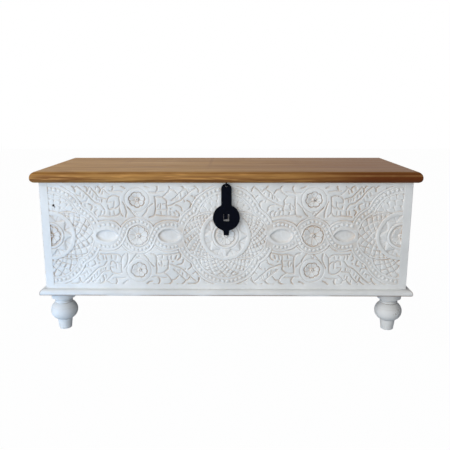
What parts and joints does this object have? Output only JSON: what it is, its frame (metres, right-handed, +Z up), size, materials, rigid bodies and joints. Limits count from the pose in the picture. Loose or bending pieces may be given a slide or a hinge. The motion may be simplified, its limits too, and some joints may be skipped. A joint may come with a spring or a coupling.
{
  "type": "storage chest",
  "caption": "Long wooden storage chest on turned bun feet: carved chalk-white front, moulded honey-brown lid on back hinges, and a black iron hasp hanging over a lock staple.",
  "frame": {"origin": "on the floor under the middle of the chest: the centre of the underside of its bounding box, which the lid sets in plan", "axes": "+X along the chest's length to the right seen from the front, +Y to the back, +Z up; the carved front faces -Y"},
  "size_m": [1.15, 0.45, 0.508],
  "materials": {
    "painted_wood": "rubbed chalk-white paint over wood",
    "lid_wood": "honey-brown stain under satin polish",
    "bare_wood": "bare planed wood",
    "black_iron": "blackened forged iron, satin",
    "hinge_iron": "dark rolled iron",
    "screw_steel": "plain steel"
  },
  "bodies": {
    "chest": {"back_left_foot": "painted_wood", "back_left_post": "painted_wood", "back_plank_1": "painted_wood", "back_plank_2": "painted_wood", "back_plank_3": "painted_wood", "back_right_foot": "painted_wood", "back_right_post": "painted_wood", "base_back": "painted_wood", "base_crossbar": "bare_wood", "base_front": "painted_wood", "base_left": "painted_wood", "base_right": "painted_wood", "case_hinge_screws": "screw_steel", "floor_board_1": "bare_wood", "floor_board_2": "bare_wood", "floor_board_3": "bare_wood", "front_left_foot": "painted_wood", "front_left_post": "painted_wood", "front_panel": "painted_wood", "front_right_foot": "painted_wood", "front_right_post": "painted_wood", "left_hinge_case_leaf": "hinge_iron", "left_hinge_pin": "hinge_iron", "left_plank_1": "painted_wood", "left_plank_2": "painted_wood", "left_plank_3": "painted_wood", "lock_staple": "black_iron", "post_dowels": "bare_wood", "right_hinge_case_leaf": "hinge_iron", "right_hinge_pin": "hinge_iron", "right_plank_1": "painted_wood", "right_plank_2": "painted_wood", "right_plank_3": "painted_wood", "staple_backplate": "black_iron"},
    "lid": {"batten_screws": "screw_steel", "hasp_eye": "black_iron", "left_hinge_lid_leaf": "hinge_iron", "lid_batten_1": "bare_wood", "lid_batten_2": "bare_wood", "lid_batten_3": "bare_wood", "lid_hinge_screws": "screw_steel", "lid_plank_1": "lid_wood", "lid_plank_2": "lid_wood", "lid_plank_3": "lid_wood", "lid_plank_4": "lid_wood", "lid_splines": "bare_wood", "right_hinge_lid_leaf": "hinge_iron"},
    "hasp": {"hasp_plate": "black_iron"}
  },
  "joints": [
    {"name": "lid_hinge", "type": "hinge", "parent": "chest", "child": "lid", "pos_m": [0, 0.2095, 0.475], "axis": [-1, 0, 0], "range_deg": [0, 125]},
    {"name": "hasp_swing", "type": "hinge", "parent": "lid", "child": "hasp", "pos_m": [0.003, -0.2175, 0.4712], "axis": [-1, 0, 0], "range_deg": [-3.5, 90]}
  ]
}
